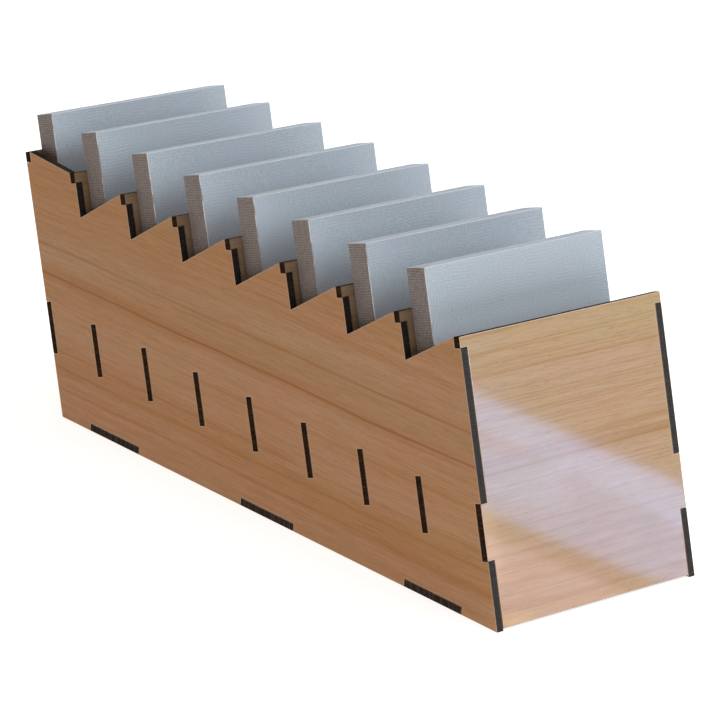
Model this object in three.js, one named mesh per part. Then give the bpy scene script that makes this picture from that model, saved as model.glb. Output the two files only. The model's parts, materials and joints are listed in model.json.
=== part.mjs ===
// Card organizer insert for a board game box: a laser-cut wooden tray with eight leaning
// compartments, each holding one deck of sleeved cards.
//
// Frame: millimetres, +X from the back panel towards the front panel, +Y towards the right
// side panel, +Z up. The origin is on the surface the tray stands on, at the middle of the
// whole part's box. The two side panels stand upright, and everything between them leans
// back by LEAN. A place on a side panel is given by how far along the base its leaning line
// starts (along), how far up that line it is (up), and how far behind the line (behind).

import * as THREE from 'three';

// Driving dimensions
const COMPARTMENTS = 8;
const PITCH = 24.5;
const LEAN = THREE.MathUtils.degToRad(16.5);
const BOARD = 2.3;
const WIDTH = 74.5;
const PANEL_TOP = 80.6;
const EAR_HEIGHT = 3.0;
const TAB_BOTTOM = 19.5;
const TAB_TOP = 35.1;
const VALLEY_UP = 67.25;
const KERF = 0.1;

const BASE_TABS = 3;
const BASE_TAB_LENGTH = 23.5;
const BASE_TAB_SPACING = 71.8;

const CARD_WIDTH = 66;
const CARD_HEIGHT = 89.2;
const DECK_THICKNESS = 7.45;
const DECK_GAP = 0.3;

// Sizes that follow from them
const LENGTH = COMPARTMENTS * PITCH;
const SIN = Math.sin(LEAN);
const COS = Math.cos(LEAN);
const HALF_WIDTH = WIDTH / 2;
const INNER_HALF_WIDTH = HALF_WIDTH - BOARD - KERF;
const BOARD_ALONG = BOARD / COS;
const NOTCH_DEPTH = BOARD + KERF;
const EAR_BOTTOM = PANEL_TOP - EAR_HEIGHT;
const BASE_BACK = BOARD_ALONG + KERF;
const BASE_FRONT = LENGTH - BOARD_ALONG - BOARD * Math.tan(LEAN) - KERF;
const DIVIDER_BOTTOM = (BOARD + KERF + BOARD * SIN) / COS;
const FRONT_BOTTOM = BOARD * Math.tan(LEAN);
const DECK_BOTTOM = (BOARD + DECK_GAP - DECK_GAP * SIN) / COS;
const DECK_TOP = DECK_BOTTOM + CARD_HEIGHT;

// The first deck's upper back corner is the rearmost point, the foot of the front the foremost.
const REARMOST = (BOARD + DECK_GAP) * COS - DECK_TOP * SIN;
const CENTRE_ALONG = (LENGTH + REARMOST) / 2;

const COLOURS = {
  side: 0xa97850,
  front: 0xc3a17a,
  inner: 0x8f6645,
  base: 0x9c7049,
  deck: 0x9aa1aa,
};

const tray = new THREE.Group();
tray.position.x = -CENTRE_ALONG;

function addPiece(parent, name, geometry, colour, roughness) {
  const material = new THREE.MeshStandardMaterial({ color: colour, roughness, metalness: 0 });
  const mesh = new THREE.Mesh(geometry, material);
  mesh.name = name;
  parent.add(mesh);
  return mesh;
}

function cutBoard(shape) {
  return new THREE.ExtrudeGeometry(shape, { depth: BOARD, bevelEnabled: false });
}

// A point in a side panel's own plane: x along the base and y up.
function sidePoint(along, up, behind = 0) {
  return new THREE.Vector2(along - up * SIN - behind * COS, up * COS - behind * SIN);
}

// Side panels: a parallelogram with a saw-toothed top, slots for the divider tabs, notches
// for the ears, and notches in its front, back and bottom edges.
function sideOutline() {
  const points = [sidePoint(0, 0)];
  for (const start of baseTabStarts()) {
    points.push(new THREE.Vector2(start - KERF, 0));
    points.push(new THREE.Vector2(start - KERF, BOARD + KERF));
    points.push(new THREE.Vector2(start + BASE_TAB_LENGTH + KERF, BOARD + KERF));
    points.push(new THREE.Vector2(start + BASE_TAB_LENGTH + KERF, 0));
  }
  points.push(sidePoint(LENGTH, 0));
  points.push(sidePoint(LENGTH, TAB_BOTTOM - KERF));
  points.push(sidePoint(LENGTH, TAB_BOTTOM - KERF, NOTCH_DEPTH));
  points.push(sidePoint(LENGTH, TAB_TOP + KERF, NOTCH_DEPTH));
  points.push(sidePoint(LENGTH, TAB_TOP + KERF));
  for (let line = COMPARTMENTS; line > 0; line -= 1) {
    const along = line * PITCH;
    points.push(sidePoint(along, EAR_BOTTOM - KERF));
    points.push(sidePoint(along, EAR_BOTTOM - KERF, NOTCH_DEPTH));
    points.push(sidePoint(along, PANEL_TOP, NOTCH_DEPTH));
    // Over the first compartment the edge runs straight from ear to ear.
    if (line > 1) {
      points.push(sidePoint(along - PITCH, VALLEY_UP));
    }
  }
  points.push(sidePoint(0, PANEL_TOP, -NOTCH_DEPTH));
  points.push(sidePoint(0, EAR_BOTTOM - KERF, -NOTCH_DEPTH));
  points.push(sidePoint(0, EAR_BOTTOM - KERF));
  points.push(sidePoint(0, TAB_TOP + KERF));
  points.push(sidePoint(0, TAB_TOP + KERF, -NOTCH_DEPTH));
  points.push(sidePoint(0, TAB_BOTTOM - KERF, -NOTCH_DEPTH));
  points.push(sidePoint(0, TAB_BOTTOM - KERF));
  return points;
}

function dividerSlot(line) {
  const along = line * PITCH;
  return new THREE.Path([
    sidePoint(along, TAB_BOTTOM - KERF, NOTCH_DEPTH),
    sidePoint(along, TAB_TOP + KERF, NOTCH_DEPTH),
    sidePoint(along, TAB_TOP + KERF, -KERF),
    sidePoint(along, TAB_BOTTOM - KERF, -KERF),
  ]);
}

function addSidePanel(name, innerFace) {
  const shape = new THREE.Shape(sideOutline());
  for (let line = 1; line < COMPARTMENTS; line += 1) {
    shape.holes.push(dividerSlot(line));
  }
  const panel = addPiece(tray, name, cutBoard(shape), COLOURS.side, 0.6);
  // The outline stands up from the XY plane into the XZ plane, its thickness towards -Y.
  panel.rotation.x = Math.PI / 2;
  panel.position.y = innerFace;
}

// Bottom panel: flush with the base, three tabs through each side panel.
function baseTabStarts() {
  const middle = (BASE_BACK + BASE_FRONT) / 2;
  const starts = [];
  for (let tab = 0; tab < BASE_TABS; tab += 1) {
    const centre = middle + (tab - (BASE_TABS - 1) / 2) * BASE_TAB_SPACING;
    starts.push(centre - BASE_TAB_LENGTH / 2);
  }
  return starts;
}

function addBottomPanel() {
  const leftEdge = [new THREE.Vector2(BASE_BACK, -INNER_HALF_WIDTH)];
  for (const start of baseTabStarts()) {
    leftEdge.push(new THREE.Vector2(start, -INNER_HALF_WIDTH));
    leftEdge.push(new THREE.Vector2(start, -HALF_WIDTH));
    leftEdge.push(new THREE.Vector2(start + BASE_TAB_LENGTH, -HALF_WIDTH));
    leftEdge.push(new THREE.Vector2(start + BASE_TAB_LENGTH, -INNER_HALF_WIDTH));
  }
  leftEdge.push(new THREE.Vector2(BASE_FRONT, -INNER_HALF_WIDTH));
  const rightEdge = leftEdge.map((point) => new THREE.Vector2(point.x, -point.y)).reverse();
  const shape = new THREE.Shape([...leftEdge, ...rightEdge]);
  addPiece(tray, 'bottom_panel', cutBoard(shape), COLOURS.base, 0.65);
}

// A leaning group: inside it x runs across the boards, y along the width and z up the lean.
// Its origin is where the boards' front line meets the base.
function leaningGroup(along) {
  const group = new THREE.Group();
  group.position.x = along;
  group.rotation.y = -LEAN;
  tray.add(group);
  return group;
}

// Cross panels: the back, the dividers and the front, each with a tab and an ear that
// reach the outer faces of the side panels.
function crossPanelShape(bottom) {
  const rightEdge = [
    new THREE.Vector2(INNER_HALF_WIDTH, bottom),
    new THREE.Vector2(INNER_HALF_WIDTH, TAB_BOTTOM),
    new THREE.Vector2(HALF_WIDTH, TAB_BOTTOM),
    new THREE.Vector2(HALF_WIDTH, TAB_TOP),
    new THREE.Vector2(INNER_HALF_WIDTH, TAB_TOP),
    new THREE.Vector2(INNER_HALF_WIDTH, EAR_BOTTOM),
    new THREE.Vector2(HALF_WIDTH, EAR_BOTTOM),
    new THREE.Vector2(HALF_WIDTH, PANEL_TOP),
  ];
  const leftEdge = rightEdge.map((point) => new THREE.Vector2(-point.x, point.y)).reverse();
  return new THREE.Shape([...rightEdge, ...leftEdge]);
}

function addCrossPanel(name, along, bottom, backFace, colour) {
  const geometry = cutBoard(crossPanelShape(bottom));
  // The outline's x becomes the width, its y the way up, and its thickness runs forwards.
  const widthAxis = new THREE.Vector3(0, 1, 0);
  const upAxis = new THREE.Vector3(0, 0, 1);
  const forwardAxis = new THREE.Vector3(1, 0, 0);
  geometry.applyMatrix4(new THREE.Matrix4().makeBasis(widthAxis, upAxis, forwardAxis));
  const panel = addPiece(leaningGroup(along), name, geometry, colour, 0.6);
  panel.position.x = backFace;
}

// Card decks: each leans on the board behind it, a little clear of the base.
function addDeck(number) {
  const along = number === 1 ? BOARD_ALONG : (number - 1) * PITCH;
  const geometry = new THREE.BoxGeometry(DECK_THICKNESS, CARD_WIDTH, CARD_HEIGHT);
  const deck = addPiece(leaningGroup(along), `card_deck_${number}`, geometry, COLOURS.deck, 0.7);
  deck.position.set(DECK_GAP + DECK_THICKNESS / 2, 0, DECK_BOTTOM + CARD_HEIGHT / 2);
}

addSidePanel('left_side_panel', -HALF_WIDTH + BOARD);
addSidePanel('right_side_panel', HALF_WIDTH);
addBottomPanel();
addCrossPanel('back_panel', 0, 0, 0, COLOURS.inner);
for (let line = 1; line < COMPARTMENTS; line += 1) {
  addCrossPanel(`divider_${line}`, line * PITCH, DIVIDER_BOTTOM, -BOARD, COLOURS.inner);
}
addCrossPanel('front_panel', LENGTH, FRONT_BOTTOM, -BOARD, COLOURS.front);
for (let number = 1; number <= COMPARTMENTS; number += 1) {
  addDeck(number);
}

export default tray;
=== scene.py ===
"""Looks of the card organizer insert: a leaning, laser-cut plywood tray with eight decks of cards.

Everything is in metres, in the CAD frame: +X from the back panel to the front panel, +Y to the
right side panel, +Z up. The boards and decks between the side panels lean back. Leaning pieces
are worked on in a tilted frame, whose x runs through the boards, y along the width, z up the lean.
"""
import json
import math
import random

import bmesh
import bpy
from mathutils import Matrix, Vector


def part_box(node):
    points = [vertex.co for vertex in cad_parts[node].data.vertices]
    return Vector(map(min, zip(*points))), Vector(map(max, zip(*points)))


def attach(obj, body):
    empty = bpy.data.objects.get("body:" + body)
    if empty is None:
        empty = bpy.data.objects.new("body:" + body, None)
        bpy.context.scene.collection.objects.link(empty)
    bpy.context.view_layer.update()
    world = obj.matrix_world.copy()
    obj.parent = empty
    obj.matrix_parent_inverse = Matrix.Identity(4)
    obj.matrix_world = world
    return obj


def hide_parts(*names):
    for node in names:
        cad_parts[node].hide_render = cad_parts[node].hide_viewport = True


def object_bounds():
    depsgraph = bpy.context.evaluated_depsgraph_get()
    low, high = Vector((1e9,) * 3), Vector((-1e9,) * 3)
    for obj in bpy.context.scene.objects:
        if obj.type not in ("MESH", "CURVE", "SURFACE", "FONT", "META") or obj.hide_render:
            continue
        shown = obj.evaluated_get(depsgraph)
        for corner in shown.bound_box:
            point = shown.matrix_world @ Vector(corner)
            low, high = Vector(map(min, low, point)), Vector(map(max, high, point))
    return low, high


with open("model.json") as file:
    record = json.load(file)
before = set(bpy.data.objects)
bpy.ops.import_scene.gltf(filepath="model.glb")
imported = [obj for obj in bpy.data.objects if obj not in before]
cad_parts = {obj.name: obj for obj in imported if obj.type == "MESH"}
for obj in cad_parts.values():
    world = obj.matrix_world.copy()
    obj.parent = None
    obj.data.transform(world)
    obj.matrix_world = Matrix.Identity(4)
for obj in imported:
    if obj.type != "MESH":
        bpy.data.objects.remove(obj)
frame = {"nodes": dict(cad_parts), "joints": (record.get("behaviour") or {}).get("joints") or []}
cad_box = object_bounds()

MM = 0.001
SEED = 7

# The frame: how far the compartments lean, read from the decks' lifting joints
LIFT_AXIS = Vector(frame["joints"][0]["axis"]).normalized()
LEAN = math.atan2(-LIFT_AXIS.x, LIFT_AXIS.z)
UPRIGHT = Matrix.Identity(3)
LEANING = Matrix.Rotation(-LEAN, 3, "Y")
DIVIDERS = sorted(n for n in frame["nodes"] if n.startswith("divider_"))
DECKS = sorted(n for n in frame["nodes"] if n.startswith("card_deck_"))

CAMERA_AZIMUTH = 48.60
CAMERA_ELEVATION = 19.29
CAMERA_ROLL = -3.37
CAMERA_DISTANCE = 1.2078
CAMERA_LENS = 209.0
CAMERA_SENSOR = 36.0
CAMERA_REACH = (0.05, 50.0)
CAMERA_AIM = Vector((4.05, 1.12, -6.57)) * MM

# Floor: half its side, how far below the tray it lies, its grey and its own faint light
FLOOR_HALF_SIDE = 6.0
FLOOR_DROP = 0.05 * MM
FLOOR_GREY = (0.82, 0.82, 0.82, 1)
FLOOR_GLOW = 0.775

# Lights: what comes from all round, and each soft box's name, place, aim, side, power and colour
AMBIENT_COLOUR = (1.0, 0.84, 0.68, 1)
AMBIENT_STRENGTH = 0.13
SOFT_BOXES = [
    ("key", (0.944, 1.098, 0.72), (0, 0, 0.04), 1.0, 14.6, (0.82, 0.93, 1.0)),
    ("top", (0.1, 0.3, 1.8), (0, 0, 0), 2.2, 15.5, (0.97, 0.98, 1.0)),
]

# Gleams on the front panel: the distance of the soft boxes that make them, and for each its
# slant in degrees, its middle across and up the lean from the panel's middle and its box's
# length and width in mm, its strength in watts per square metre and its colour
GLEAM_REACH = 0.30
GLEAMS = [
    (29.0, (0, -0.3), (240, 11.8), 105, (0.25, 0.55, 1.13)),
    (27.8, (0, -16.5), (240, 23.0), 81, (0.13, 0.45, 1.05)),
    (18.0, (-23, -1.0), (34, 17.0), 24, (0.45, 0.77, 1.07)),
    (29.0, (0, -46.0), (240, 26.0), 39, (0.92, 0.76, 1.00)),
    (85.0, (-36.5, -16.5), (28, 5.0), 52, (1.00, 0.66, 0.45)),
    (12.0, (-37, -39.5), (24, 8.0), 60, (1.00, 0.58, 0.05)),
]

# Veneer figure: each layer is noise drawn out along the grain, given by its cycles per metre along
# and across the grain, its detail, its roughness and a shift that sets it apart
DRIFT = (14.0, 22.0, 2.0, 0.5, 0.0)
DRIFT_REACH = 2.6 * MM
PATCHES = (38.0, 80.0, 5.0, 0.62, 5.9)
BANDS = (5.0, 95.0, 2.0, 0.5, 1.7)
STRANDS = (14.0, 520.0, 3.0, 0.6, 4.1)
FIBRES = (110.0, 2100.0, 2.0, 0.6, 8.3)
FLECKS = (420.0, 1500.0, 1.0, 0.5, 16.9)
RINGS = (3.5, 400.0, 0.0, 0.5, 2.9)
RING_SWELL = (10.0, 140.0, 2.0, 0.5, 22.9)
RING_THINNESS = 0.058
PORES = (420.0, 3000.0, 1.0, 0.5, 12.6)
PORE_STRENGTH = 0.45
GRAIN_RELIEF = 0.03 * MM

# Axes along and across the grain
ALONG_X_ACROSS_Z = (0, 2)
ALONG_X_ACROSS_Y = (0, 1)
ALONG_Y_ACROSS_Z = (1, 2)

# Veneer tints, laid over the wood by multiplying
RUDDY = (1.03, 0.965, 0.93)
TAWNY = (0.985, 1.02, 0.93)
FIBRE = (0.89, 0.87, 0.81)
FLECK = (0.88, 0.74, 0.60)
RING = (0.84, 0.74, 0.54)
PALE = (1.0, 1.10, 1.24)

# Woods: light, dark, growth-line and rim colours. The pale rim colours are painted highlights along
# the arrises of the boards' faces.
SIDE_RIM_HIGHLIGHT = (0.66, 0.54, 0.44)
FRONT_RIM_HIGHLIGHT = (0.74, 0.66, 0.60)
SMOKED = (0.155, 0.100, 0.066)
SIDE_WOOD = ((0.522, 0.278, 0.146), (0.476, 0.234, 0.096), (0.345, 0.120, 0.018), SIDE_RIM_HIGHLIGHT)
FRONT_WOOD = ((0.556, 0.340, 0.192), (0.532, 0.316, 0.130), (0.385, 0.186, 0.038), FRONT_RIM_HIGHLIGHT)
# Painted shade: the divider wood is a darker, greyer copy of the panel wood, standing in for the
# shade the decks cast on the dividers.
SHADED_DIVIDER_WOOD = ((0.410, 0.286, 0.196), (0.368, 0.242, 0.152), (0.262, 0.148, 0.070), SMOKED)

# Broad growth lines: height across the grain and width in mm, and strength
SIDE_GROWTH = [
    (42.9, 0.55, 0.92), (51.8, 0.50, 0.62), (31.5, 0.45, 0.26), (20.3, 0.50, 0.28),
    (15.2, 0.60, 0.34), (9.1, 0.65, 0.36), (25.4, 0.50, 0.15), (3.5, 0.50, 0.18),
]
FRONT_GROWTH = [
    (11.4, 0.42, 0.90), (16.2, 0.35, 0.42), (25.9, 0.45, 0.42), (37.8, 0.40, 0.40),
    (29.2, 0.35, 0.36), (40.3, 0.35, 0.38), (-7.6, 0.45, 0.42), (32.7, 0.35, 0.38),
    (-14.3, 0.40, 0.36), (-19.5, 0.40, 0.36), (-4.3, 0.40, 0.32), (-10.9, 0.40, 0.30),
    (-22.2, 0.35, 0.30), (4.7, 0.35, 0.30), (22.3, 0.35, 0.26),
]
BASE_GROWTH = [(8.0, 0.5, 0.5)]

# Growth lines of an inner board: how many, and the range of each one's height, width and strength
INNER_GROWTH_LINES = 4
INNER_HEIGHTS = (10, 75)
INNER_WIDTHS = (0.3, 0.6)
INNER_STRENGTHS = (0.3, 0.6)

# The faint glow round each growth line: how many times as wide, and its strength
GLOW_WIDTH = 4
GLOW_STRENGTH = 0.40

# Strength of the fine rings between the growth lines, and each veneer's place in the noise
SIDE_RINGS = 0.40
BASE_RINGS = 0.35
FRONT_RINGS = 0.80
INNER_RINGS = 0.50
SIDE_SEEDS = {"left": 3.1, "right": 9.4}
BASE_SEED = 14.2
FRONT_SEED = 21.7
INNER_SEEDS = (30, 90)

# Broad pale bands: middle and reach in mm across the grain
SIDE_BAND = (51.0, 9.0)
FRONT_BAND = (45.5, 6.0)

# Lacquer: how much of the coat a board has, how rough the coat is and its refraction
GLOSSY = 0.20
SATIN = 0.10
COAT_ROUGHNESS = 0.07
COAT_IOR = 1.5

# Charred edges: black, brown and soot colours, and how much they shine. The glue lines' depth is
# a share of the board's thickness from its middle, and the stripes and the soot are noise of so
# many cycles per metre.
SHINY_CHAR = ((0.014, 0.010, 0.008), (0.042, 0.028, 0.018), (0.120, 0.118, 0.118), 0.30)
DULL_CHAR = ((0.026, 0.0125, 0.0062), (0.074, 0.0355, 0.0175), (0.077, 0.054, 0.043), 0.0)
BASE_CHAR = ((0.037, 0.0260, 0.0210), (0.106, 0.0770, 0.0620), (0.110, 0.110, 0.120), 0.0)
GLUE = (0.005, 0.004, 0.003)
GLUE_DEPTH = 0.17
GLUE_STRENGTH = 0.45
STRIPE_FINENESS = 2300.0
STRIPE_RUN = 160.0
SOOT_FINENESS = 2400.0
CHAR_RELIEF = 0.06 * MM

# Boards
EDGE_ROUNDING = 0.07 * MM
# The rim is the band round each face that takes the wood's rim colour, a painted highlight on most
# boards.
RIM_WIDTH = 0.28 * MM
SAME_POINT = 0.001 * MM
FLAT_ANGLE = math.radians(1)
SHARP_ANGLE = math.radians(20)
FACING_OUT = 0.999

# Decks
CARDS_PER_DECK = 20
CARD_SPACE = 0.010 * MM
CARD_CORNER = 0.25 * MM
CORNER_STEPS = 4
CARD_ROUNDING = 0.035 * MM
# The front card's front arris is rounded wider to carry a painted highlight.
HIGHLIGHT_ARRIS_ROUNDING = 0.20 * MM
CARD_INSET = 0.04 * MM
CARD_SHIFT = 0.03 * MM
LINEN_SEEDS = (0, 40)

# Card stock: its colours, and how far each mottled one strays either way. The top colour is a
# painted highlight, paler because the cut tops face the light from above; the arris colour is a
# painted highlight on the front card's front arris.
CARD_FACE = (0.560, 0.615, 0.675)
CARD_BLUSH = (0.5824, 0.615, 0.69525)
CARD_SIDE = (0.300, 0.250, 0.228)
CARD_TOP_HIGHLIGHT = (0.73, 0.79, 0.87)
CARD_ARRIS_HIGHLIGHT = (0.93, 0.94, 0.96)
FACE_SPREAD = 0.17
SIDE_SPREAD = 0.55
TOP_SPREAD = 0.12

# Linen weave: its pitch, how much closer it is up the cut sides, how far its threads wander, in
# radians, and its depth. Its noises are given by their cycles per metre.
WEAVE_PITCH = 0.91 * MM
SIDE_CLOSENESS = 1.35
THREAD_WANDER = 16.0
WEAVE_RELIEF = 0.035 * MM
WANDER_NOISE = (130.0, 130.0, 130.0)
TURN_NOISE = (75.0, 75.0, 75.0)
CLOUD_NOISE = (45.0, 45.0, 45.0)
FUZZ_NOISE = (2100.0, 1100.0, 2100.0)


# ---------------------------------------------------------------- camera, floor and light

def make_camera():
    azimuth = math.radians(CAMERA_AZIMUTH)
    elevation = math.radians(CAMERA_ELEVATION)
    roll = math.radians(CAMERA_ROLL)
    forward = Vector((
        -math.sin(azimuth) * math.cos(elevation),
        math.cos(azimuth) * math.cos(elevation),
        -math.sin(elevation),
    ))
    level_right = Vector((math.cos(azimuth), math.sin(azimuth), 0))
    level_down = forward.cross(level_right)
    right = math.cos(roll) * level_right + math.sin(roll) * level_down
    down = math.cos(roll) * level_down - math.sin(roll) * level_right
    data = bpy.data.cameras.new("camera")
    data.lens = CAMERA_LENS
    data.sensor_width = CAMERA_SENSOR
    data.clip_start, data.clip_end = CAMERA_REACH
    camera = bpy.data.objects.new("camera", data)
    low, high = cad_box
    place = (low + high) / 2 + CAMERA_AIM - forward * CAMERA_DISTANCE
    turn = Matrix((right, -down, -forward)).transposed()
    camera.matrix_world = Matrix.Translation(place) @ turn.to_4x4()
    bpy.context.scene.collection.objects.link(camera)
    bpy.context.scene.camera = camera


def add_light(name, place, aim, size, power, colour):
    data = bpy.data.lights.new(name, "AREA")
    data.shape = "RECTANGLE"
    data.size, data.size_y = size
    data.energy = power
    data.color = colour
    light = bpy.data.objects.new(name, data)
    light.location = place
    light.rotation_mode = "QUATERNION"
    light.rotation_quaternion = (Vector(aim) - Vector(place)).to_track_quat("-Z", "Y")
    bpy.context.scene.collection.objects.link(light)
    return light


def set_inputs(node, **values):
    """Set a node's own sockets, each named with underscores for its spaces."""
    for name, value in values.items():
        node.inputs[name.replace("_", " ")].default_value = value


def make_floor():
    reach = FLOOR_HALF_SIDE
    corners = [(-reach, -reach, 0), (reach, -reach, 0), (reach, reach, 0), (-reach, reach, 0)]
    mesh = bpy.data.meshes.new("floor")
    mesh.from_pydata(corners, [], [(0, 1, 2, 3)])
    floor = bpy.data.objects.new("floor", mesh)
    floor.location.z = cad_box[0].z - FLOOR_DROP
    material = bpy.data.materials.new("pale_floor")
    material.use_nodes = True
    set_inputs(
        material.node_tree.nodes["Principled BSDF"],
        Base_Color=FLOOR_GREY, Roughness=0.9, Specular_IOR_Level=0.1,
        Emission_Color=(1, 1, 1, 1), Emission_Strength=FLOOR_GLOW,
    )
    mesh.materials.append(material)
    bpy.context.scene.collection.objects.link(floor)


def make_world():
    """A white backdrop for the camera, and a faint warm light on the object."""
    world = bpy.data.worlds.new("studio")
    world.use_nodes = True
    nodes, links = world.node_tree.nodes, world.node_tree.links
    backdrop = nodes["Background"]
    set_inputs(backdrop, Color=(1, 1, 1, 1))
    ambient = nodes.new("ShaderNodeBackground")
    set_inputs(ambient, Color=AMBIENT_COLOUR, Strength=AMBIENT_STRENGTH)
    seen = nodes.new("ShaderNodeLightPath")
    mix = nodes.new("ShaderNodeMixShader")
    links.new(seen.outputs["Is Camera Ray"], mix.inputs[0])
    links.new(ambient.outputs[0], mix.inputs[1])
    links.new(backdrop.outputs[0], mix.inputs[2])
    links.new(mix.outputs[0], nodes["World Output"].inputs[0])
    bpy.context.scene.world = world


def make_studio():
    make_floor()
    make_world()
    for name, place, aim, side, power, colour in SOFT_BOXES:
        add_light(name, place, aim, (side, side), power, colour)
    scene = bpy.context.scene
    scene.view_settings.view_transform = "Standard"
    scene.view_settings.look = "None"
    scene.cycles.use_denoising = True


def make_gleams():
    """Soft boxes that show only as gleams in the lacquer of the boards in one collection: each is
    placed where the panel mirrors it to the camera. Returns the collection."""
    lit = bpy.data.collections.new("gleaming")
    low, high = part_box("front_panel")
    face = LEANING @ Vector((1, 0, 0))
    for slant, (aside, rise), (length, width), strength, colour in GLEAMS:
        along = LEANING @ Matrix.Rotation(-math.radians(slant), 3, "X") @ Vector((0, 1, 0))
        spot = (low + high) / 2 + Vector((0, aside, 0)) * MM + LIFT_AXIS * rise * MM
        sight = (spot - bpy.context.scene.camera.location).normalized()
        away = sight - 2 * sight.dot(face) * face
        size = (length * MM, width * MM)
        power = strength * size[0] * size[1]
        light = add_light("gleam", spot + away * GLEAM_REACH, spot, size, power, colour)
        short_axis = away.cross(along).normalized()
        turn = Matrix((short_axis.cross(away), short_axis, away)).transposed()
        light.rotation_quaternion = turn.to_quaternion()
        light.visible_diffuse = False
        light.visible_camera = False
        light.light_linking.receiver_collection = lit
    return lit


# ---------------------------------------------------------------- node helpers

def opaque(colour):
    """A red, green and blue with full alpha. A node's output comes back as it is."""
    return (*colour, 1.0) if isinstance(colour, tuple) else colour


class Nodes:
    """A small builder for one material's node tree."""

    def __init__(self, name):
        self.material = bpy.data.materials.new(name)
        self.material.use_nodes = True
        self.tree = self.material.node_tree
        self.surface = self.tree.nodes["Principled BSDF"]

    def new(self, kind, **settings):
        node = self.tree.nodes.new("ShaderNode" + kind)
        for key, value in settings.items():
            setattr(node, key, value)
        return node

    def put(self, value, socket):
        if isinstance(value, (int, float, tuple)):
            socket.default_value = value
        else:
            self.tree.links.new(value, socket)

    def math(self, operation, a, b=0.0):
        node = self.new("Math", operation=operation)
        self.put(a, node.inputs[0])
        self.put(b, node.inputs[1])
        return node.outputs[0]

    def vector(self, x, y, z):
        node = self.new("CombineXYZ")
        for value, socket in zip((x, y, z), node.inputs):
            self.put(value, socket)
        return node.outputs[0]

    def scaled(self, axes, scales, shift=0.0):
        """The vector of three coordinates, each times its scale, with the last one shifted."""
        x, y, z = (self.math("MULTIPLY", axis, scale) for axis, scale in zip(axes, scales))
        return self.vector(x, y, self.math("ADD", z, shift))

    def place(self, turn):
        """The object's own coordinates, in the upright or the leaning frame: x, y and z."""
        where = self.new("TexCoord").outputs["Object"]
        if turn is LEANING:
            rotate = self.new("VectorRotate", rotation_type="Y_AXIS")
            self.put(where, rotate.inputs["Vector"])
            rotate.inputs["Angle"].default_value = LEAN
            where = rotate.outputs[0]
        split = self.new("SeparateXYZ")
        self.put(where, split.inputs[0])
        return split.outputs

    def attribute(self, name):
        return self.new("Attribute", attribute_name=name).outputs["Fac"]

    def noise(self, where, detail=2.0, roughness=0.5, scale=1.0):
        node = self.new("TexNoise")
        self.put(where, node.inputs["Vector"])
        set_inputs(node, Scale=scale, Detail=detail, Roughness=roughness)
        return node.outputs["Fac"]

    def stretch(self, value, low, high, to_low=0.0, to_high=1.0, smooth=True):
        """The value's run from low to high, spread from to_low to to_high and held beyond."""
        node = self.new("MapRange", interpolation_type="SMOOTHSTEP" if smooth else "LINEAR")
        for item, socket in zip((value, low, high, to_low, to_high), node.inputs):
            self.put(item, socket)
        return node.outputs[0]

    def mix(self, share, first, second):
        """From the first number to the second, by share."""
        node = self.new("Mix", data_type="FLOAT")
        self.put(share, node.inputs[0])
        self.put(first, node.inputs[2])
        self.put(second, node.inputs[3])
        return node.outputs[0]

    def blend(self, share, first, second, mode="MIX"):
        """From the first colour to the second, by share, or to the two multiplied."""
        node = self.new("Mix", data_type="RGBA", blend_type=mode)
        self.put(share, node.inputs["Factor"])
        self.put(opaque(first), node.inputs[6])
        self.put(opaque(second), node.inputs[7])
        return node.outputs[2]

    def bump(self, height, distance, strength):
        node = self.new("Bump")
        set_inputs(node, Strength=strength, Distance=distance)
        self.put(height, node.inputs["Height"])
        return node.outputs[0]


# ---------------------------------------------------------------- materials

def growth_line(n, across, height, width):
    """1 at this height across the grain, falling softly to 0 over the width, both in mm."""
    off = n.math("DIVIDE", n.math("SUBTRACT", across, height * MM), width * MM)
    return n.math("EXPONENT", n.math("MULTIPLY", n.math("MULTIPLY", off, off), -1.0))


def growth_marks(n, across, strands, growth):
    """How dark the broad growth lines are: a dense core in a wider, fainter glow, each line a
    little broken by the strands."""
    broken = n.stretch(strands, 0.2, 0.7, 0.75, 1.0)
    mark = 0.0
    for height, width, strength in growth:
        core = n.math("MULTIPLY", growth_line(n, across, height, width), strength)
        glow = growth_line(n, across, height, width * GLOW_WIDTH)
        glow = n.math("MULTIPLY", glow, strength * strength * GLOW_STRENGTH)
        line = n.math("MULTIPLY", n.math("MAXIMUM", core, glow), broken)
        mark = n.math("MAXIMUM", mark, line)
    return mark


def thin_lines(n, streak, thinness):
    """1 along the contour where a streaky noise passes its middle, falling to 0 beside it."""
    off = n.math("ABSOLUTE", n.math("SUBTRACT", streak, 0.5))
    return n.stretch(off, 0.0, thinness, 1.0, 0.0)


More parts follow.
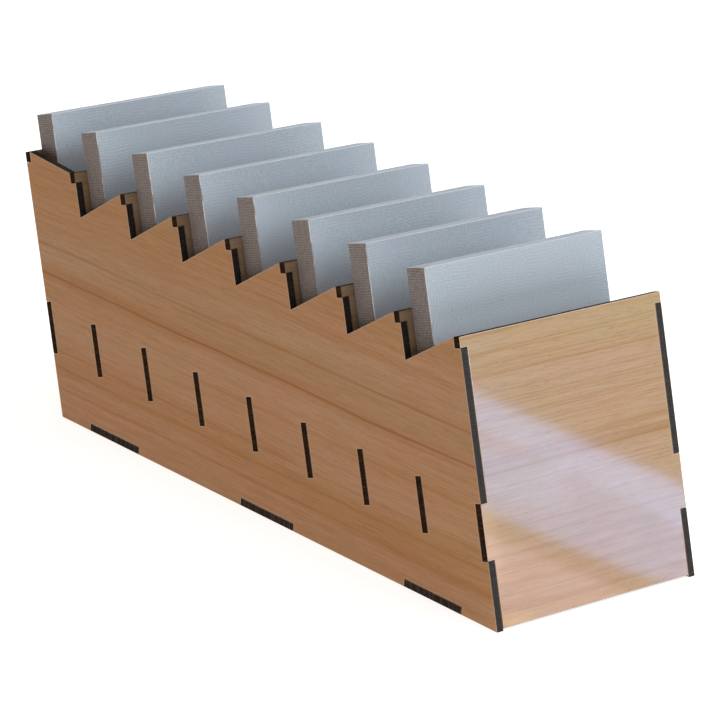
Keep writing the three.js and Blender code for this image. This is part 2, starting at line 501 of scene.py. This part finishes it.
def wood_material(name, wood, turn, grain, growth, rings, seed, lacquer, pale=None):
    """Lacquered veneer. wood gives its colours, grain the axes along and across the fibres,
    growth the broad lines, rings the strength of the fine lines between them, seed its place in
    the noise, lacquer how much of the coat it has, and pale the middle and reach of a pale band."""
    light, dark, line, tinted_rim = wood
    n = Nodes(name)
    axes = n.place(turn)
    along, across = (axes[axis] for axis in grain)

    def figure(layer, height):
        along_scale, across_scale, detail, roughness, shift = layer
        run = n.math("MULTIPLY", along, along_scale)
        rise = n.math("MULTIPLY", height, across_scale)
        return n.noise(n.vector(run, rise, seed + shift), detail, roughness)

    drift = n.math("SUBTRACT", figure(DRIFT, across), 0.5)
    level = n.math("ADD", across, n.math("MULTIPLY", drift, DRIFT_REACH))
    strands = figure(STRANDS, level)
    fibres = figure(FIBRES, level)
    patches = figure(PATCHES, across)

    bands = n.math("MULTIPLY", figure(BANDS, level), 0.6)
    tone = n.math("ADD", bands, n.math("MULTIPLY", strands, 0.4))
    colour = n.blend(n.stretch(tone, 0.38, 0.62), light, dark)
    colour = n.blend(n.stretch(patches, 0.50, 0.66, 0.0, 0.8), colour, RUDDY, "MULTIPLY")
    colour = n.blend(n.stretch(patches, 0.34, 0.50, 0.8, 0.0), colour, TAWNY, "MULTIPLY")
    colour = n.blend(n.stretch(fibres, 0.40, 0.66), colour, FIBRE, "MULTIPLY")
    if pale:
        colour = n.blend(growth_line(n, level, *pale), colour, PALE, "MULTIPLY")
    flecks = n.stretch(figure(FLECKS, level), 0.62, 0.76, 0.0, 0.5)
    colour = n.blend(flecks, colour, FLECK, "MULTIPLY")

    swell = n.stretch(figure(RING_SWELL, level), 0.36, 0.64, rings * 0.2, rings)
    ring = n.math("MULTIPLY", thin_lines(n, figure(RINGS, level), RING_THINNESS), swell)
    colour = n.blend(ring, colour, RING, "MULTIPLY")
    colour = n.blend(growth_marks(n, level, strands, growth), colour, line)

    pores = n.stretch(figure(PORES, level), 0.64, 0.78)
    colour = n.blend(n.math("MULTIPLY", pores, PORE_STRENGTH), colour, line)
    # The rim round each face takes the wood's rim colour: a painted highlight on the panels, a
    # darker rim on the dividers.
    rim_tint_share = n.math("MULTIPLY", n.attribute("rim"), n.stretch(fibres, 0.3, 0.7, 0.30, 0.50))
    colour = n.blend(rim_tint_share, colour, tinted_rim)

    n.put(colour, n.surface.inputs["Base Color"])
    n.put(n.stretch(strands, 0.3, 0.7, 0.56, 0.45), n.surface.inputs["Roughness"])
    relief = n.math("ADD", n.math("MULTIPLY", fibres, 0.6), n.math("MULTIPLY", pores, -0.9))
    n.put(n.bump(relief, GRAIN_RELIEF, 0.5), n.surface.inputs["Normal"])
    set_inputs(
        n.surface,
        Specular_IOR_Level=0.5 * lacquer + 0.05,
        Coat_Weight=lacquer, Coat_Roughness=COAT_ROUGHNESS, Coat_IOR=COAT_IOR,
    )
    return n.material


def charred_material(name, char, turn, through, middle, thickness):
    """A laser-cut edge: charred plies with the beam's fine stripes running through the board,
    along the axis called through, and two glue lines either side of the middle."""
    black, brown, ash, shine = char
    n = Nodes(name)
    axes = n.place(turn)
    scales = [STRIPE_FINENESS] * 3
    scales[through] = STRIPE_RUN
    stripes = n.noise(n.scaled(axes, scales), 3.0, 0.6)
    soot = n.noise(n.vector(*axes), 3.0, 0.65, SOOT_FINENESS)
    depth = n.math("DIVIDE", n.math("SUBTRACT", axes[through], middle), thickness)
    ply = n.math("ABSOLUTE", n.math("SUBTRACT", n.math("ABSOLUTE", depth), GLUE_DEPTH))
    glue = n.stretch(ply, 0.015, 0.05, 1.0, 0.0)
    colour = n.blend(n.stretch(stripes, 0.42, 0.75), black, brown)
    colour = n.blend(n.stretch(soot, 0.56, 0.72, 0.0, 0.8), colour, ash)
    colour = n.blend(n.math("MULTIPLY", glue, GLUE_STRENGTH), colour, GLUE)
    n.put(colour, n.surface.inputs["Base Color"])
    n.put(n.stretch(soot, 0.3, 0.7, 0.52, 0.72), n.surface.inputs["Roughness"])
    relief = n.math("ADD", n.math("MULTIPLY", stripes, 0.7), n.math("MULTIPLY", glue, -0.5))
    n.put(n.bump(relief, CHAR_RELIEF, 0.7), n.surface.inputs["Normal"])
    set_inputs(n.surface, Specular_IOR_Level=shine)
    return n.material


def card_material(name, seed):
    """Linen-finish card: an embossed weave all over, darker and warmer on the cut sides, painted
    highlights on the cut tops and in dashes along the front card's front arris, weaker to the
    right."""
    n = Nodes(name)
    axes = n.place(LEANING)
    side = n.attribute("cut_side")
    turns = 2 * math.pi / WEAVE_PITCH

    def wander(shift):
        where = n.scaled(axes, WANDER_NOISE, seed + shift)
        return n.math("MULTIPLY", n.math("SUBTRACT", n.noise(where), 0.5), THREAD_WANDER)

    across = n.math("MULTIPLY", n.mix(side, axes[1], axes[0]), turns)
    warp = n.math("SINE", n.math("ADD", across, wander(0.0)))
    closeness = n.stretch(side, 0.0, 1.0, turns, turns * SIDE_CLOSENESS, smooth=False)
    weft = n.math("SINE", n.math("ADD", n.math("MULTIPLY", axes[2], closeness), wander(7.7)))
    turned = n.noise(n.scaled(axes, TURN_NOISE), 1.0)
    on_face = n.math("SUBTRACT", 1.0, side)
    lead = n.mix(n.math("MULTIPLY", n.stretch(turned, 0.42, 0.60), on_face), weft, warp)
    crossing = n.math("MULTIPLY", n.math("MULTIPLY", warp, weft), 0.6)
    threads = n.math("ADD", crossing, n.math("MULTIPLY", lead, 0.5))
    grain = n.noise(n.scaled(axes, FUZZ_NOISE, seed), 3.0, 0.6)
    fuzz = n.math("MULTIPLY", n.math("SUBTRACT", grain, 0.5), 2.2)
    weave = n.math("ADD", n.math("MULTIPLY", threads, 0.5), fuzz)

    def mottled(colour, spread):
        deep = tuple(c * (1 - spread) for c in colour)
        pale = tuple(c * (1 + spread) for c in colour)
        return n.blend(n.stretch(weave, -0.7, 0.7, smooth=False), deep, pale)

    cloud = n.stretch(n.noise(n.scaled(axes, CLOUD_NOISE)), 0.35, 0.7, 0.0, 0.5)
    face = n.blend(cloud, mottled(CARD_FACE, FACE_SPREAD), CARD_BLUSH)
    colour = n.blend(side, face, mottled(CARD_SIDE, SIDE_SPREAD))
    # Painted highlight: the cut tops are made paler, as if lit from above.
    colour = n.blend(n.attribute("cut_top"), colour, mottled(CARD_TOP_HIGHLIGHT, TOP_SPREAD))
    # Painted highlight: pale dashes along the front card's front arris, weaker towards the right.
    highlight_dashes = n.stretch(warp, -0.6, 0.8, 0.25, 1.0)
    highlight_fade = n.stretch(axes[1], -8 * MM, 16 * MM, 1.0, 0.45)
    arris_highlight = n.math("MULTIPLY", n.attribute("arris_highlight"), n.math("MULTIPLY", highlight_dashes, highlight_fade))
    colour = n.blend(arris_highlight, colour, CARD_ARRIS_HIGHLIGHT)
    n.put(colour, n.surface.inputs["Base Color"])
    n.put(n.stretch(grain, 0.3, 0.7, 0.50, 0.66), n.surface.inputs["Roughness"])
    n.put(n.bump(weave, WEAVE_RELIEF, 0.6), n.surface.inputs["Normal"])
    set_inputs(n.surface, Specular_IOR_Level=0.12)
    return n.material


# ---------------------------------------------------------------- boards

def add_object(name, mesh):
    piece = bpy.data.objects.new(name, mesh)
    bpy.context.scene.collection.objects.link(piece)
    return piece


def board_piece(node, through, turn, wood, char):
    """A detailed copy of a board: softened arrises, a rim round the faces tinted with a painted
    highlight (darker on the dividers), charred edges.
    through is the axis that runs through the board, in the upright or the leaning frame."""
    mesh = frame["nodes"][node].data.copy()
    mesh.name = node + "_board"
    mesh.materials.clear()
    normal = turn.col[through]
    levels = [v.co.dot(normal) for v in mesh.vertices]
    middle = (min(levels) + max(levels)) / 2
    thickness = max(levels) - min(levels)
    edge = charred_material(node + "_charred", char, turn, through, middle, thickness)
    mesh.materials.append(wood)
    mesh.materials.append(edge)

    shape = bmesh.new()
    shape.from_mesh(mesh)
    bmesh.ops.remove_doubles(shape, verts=shape.verts, dist=SAME_POINT)
    bmesh.ops.dissolve_limit(shape, angle_limit=FLAT_ANGLE, verts=shape.verts, edges=shape.edges)
    sharp = [e for e in shape.edges if len(e.link_faces) == 2 and e.calc_face_angle() > SHARP_ANGLE]
    bmesh.ops.bevel(
        shape, geom=sharp, offset=EDGE_ROUNDING, offset_type="OFFSET", segments=2, profile=0.5,
        affect="EDGES", clamp_overlap=True,
    )
    faces = []
    for face in shape.faces:
        facing = abs(face.normal.dot(normal))
        face.material_index = 0 if facing > 0.1 else 1
        face.smooth = True
        if facing > FACING_OUT:
            faces.append(face)
    bmesh.ops.inset_region(shape, faces=faces, thickness=RIM_WIDTH, use_even_offset=True)
    rim = shape.verts.layers.float.new("rim")
    for vert in shape.verts:
        inside = all(abs(f.normal.dot(normal)) > FACING_OUT for f in vert.link_faces)
        vert[rim] = 0.0 if inside else 1.0
    shape.to_mesh(mesh)
    shape.free()
    piece = add_object(node + "_board", mesh)
    soften = piece.modifiers.new("even shading", "WEIGHTED_NORMAL")
    soften.keep_sharp = True
    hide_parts(node)
    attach(piece, "tray")
    return piece


def make_side_panels():
    for side, seed in SIDE_SEEDS.items():
        wood = wood_material(
            side + "_veneer", SIDE_WOOD, UPRIGHT, ALONG_X_ACROSS_Z,
            SIDE_GROWTH, SIDE_RINGS, seed, SATIN, SIDE_BAND,
        )
        board_piece(side + "_side_panel", 1, UPRIGHT, wood, SHINY_CHAR)


def make_bottom_panel():
    wood = wood_material(
        "base_veneer", SIDE_WOOD, UPRIGHT, ALONG_X_ACROSS_Y,
        BASE_GROWTH, BASE_RINGS, BASE_SEED, SATIN,
    )
    board_piece("bottom_panel", 2, UPRIGHT, wood, BASE_CHAR)


def make_front_panel():
    wood = wood_material(
        "front_veneer", FRONT_WOOD, LEANING, ALONG_Y_ACROSS_Z,
        FRONT_GROWTH, FRONT_RINGS, FRONT_SEED, GLOSSY, FRONT_BAND,
    )
    board = board_piece("front_panel", 0, LEANING, wood, DULL_CHAR)
    make_gleams().objects.link(board)


def make_inner_boards():
    """The back panel and the dividers, each with growth lines of its own."""
    chance = random.Random(SEED)
    for node in ["back_panel"] + DIVIDERS:
        growth = []
        for _ in range(INNER_GROWTH_LINES):
            height = chance.uniform(*INNER_HEIGHTS)
            width = chance.uniform(*INNER_WIDTHS)
            strength = chance.uniform(*INNER_STRENGTHS)
            growth.append((height, width, strength))
        # Painted shade: the dividers take the darker divider wood, for the shade of the decks in
        # front of them.
        tone = FRONT_WOOD if node == "back_panel" else SHADED_DIVIDER_WOOD
        seed = chance.uniform(*INNER_SEEDS)
        wood = wood_material(
            node + "_veneer", tone, LEANING, ALONG_Y_ACROSS_Z, growth, INNER_RINGS, seed, GLOSSY,
        )
        board_piece(node, 0, LEANING, wood, DULL_CHAR)


# ---------------------------------------------------------------- decks

def card_outline(half_width, low, high, corner):
    """A card's rounded rectangle, as (width, height) points counter-clockwise."""
    points = []
    corners = [
        (half_width - corner, low + corner, -90),
        (half_width - corner, high - corner, 0),
        (-half_width + corner, high - corner, 90),
        (-half_width + corner, low + corner, 180),
    ]
    for y, z, start in corners:
        for step in range(CORNER_STEPS + 1):
            angle = math.radians(start + 90 * step / CORNER_STEPS)
            points.append((y + corner * math.cos(angle), z + corner * math.sin(angle)))
    return points


def add_card(shape, back, front, tinted_rim, shift, half_width, low, high):
    """One card with rounded arrises, between two planes of the leaning frame. Its faces are
    marked as cut side, where they look along the width, or cut top, where they look up or down,
    and the front card's wider front arris is marked for a painted highlight."""
    cut_side = shape.loops.layers.float["cut_side"]
    cut_top = shape.loops.layers.float["cut_top"]
    arris_highlight = shape.loops.layers.float["arris_highlight"]
    shift_y, shift_z = shift
    front_rounding = HIGHLIGHT_ARRIS_ROUNDING if tinted_rim else CARD_ROUNDING
    rings = [
        (back, CARD_ROUNDING),
        (back + CARD_ROUNDING, 0.0),
        (front - front_rounding, 0.0),
        (front, front_rounding),
    ]
    loops = []
    for x, inset in rings:
        outline = card_outline(half_width - inset, low + inset, high - inset, CARD_CORNER - inset)
        places = [LEANING @ Vector((x, y + shift_y, z + shift_z)) for y, z in outline]
        loops.append([shape.verts.new(place) for place in places])
    count = len(loops[0])
    for first, second in zip(loops, loops[1:]):
        # Painted highlight: the front card's last ring is marked to take the pale arris colour.
        highlit_ring = tinted_rim and second is loops[-1]
        for i in range(count):
            j = (i + 1) % count
            face = shape.faces.new((first[i], first[j], second[j], second[i]))
            face.smooth = True
            run = first[j].co - first[i].co
            upright = abs(run.dot(LIFT_AXIS)) > 0.7 * run.length
            for loop in face.loops:
                loop[cut_side] = 1.0 if upright else 0.0
                loop[cut_top] = 0.0 if upright else 1.0
                loop[arris_highlight] = 1.0 if highlit_ring else 0.0
    shape.faces.new(reversed(loops[0]))
    shape.faces.new(loops[-1])


def deck_piece(node, chance):
    to_leaning = LEANING.transposed()
    corners = [to_leaning @ v.co for v in frame["nodes"][node].data.vertices]
    low = Vector(min(c[i] for c in corners) for i in range(3))
    high = Vector(max(c[i] for c in corners) for i in range(3))
    pitch = (high.x - low.x) / CARDS_PER_DECK
    half_width = (high.y - low.y) / 2 - CARD_INSET
    shape = bmesh.new()
    for layer in ("cut_side", "cut_top", "arris_highlight"):
        shape.loops.layers.float.new(layer)
    for card in range(CARDS_PER_DECK):
        first, last = card == 0, card == CARDS_PER_DECK - 1
        back = low.x + card * pitch + (0.0 if first else CARD_SPACE / 2)
        front = low.x + (card + 1) * pitch - (0.0 if last else CARD_SPACE / 2)
        shift = (chance.uniform(-CARD_SHIFT, CARD_SHIFT), chance.uniform(-CARD_SHIFT, 0.0))
        if first or last:
            shift = (0.0, 0.0)
        add_card(shape, back, front, last, shift, half_width, low.z + CARD_INSET, high.z)
    bmesh.ops.recalc_face_normals(shape, faces=shape.faces)
    mesh = bpy.data.meshes.new(node + "_cards")
    shape.to_mesh(mesh)
    shape.free()
    mesh.materials.append(card_material(node + "_linen", chance.uniform(*LINEN_SEEDS)))
    piece = add_object(node + "_cards", mesh)
    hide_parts(node)
    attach(piece, node.replace("card_deck", "deck"))


def make_decks():
    chance = random.Random(SEED + 1)
    for node in DECKS:
        deck_piece(node, chance)


make_camera()
make_studio()
make_side_panels()
make_bottom_panel()
make_front_panel()
make_inner_boards()
make_decks()

bpy.context.view_layer.update()
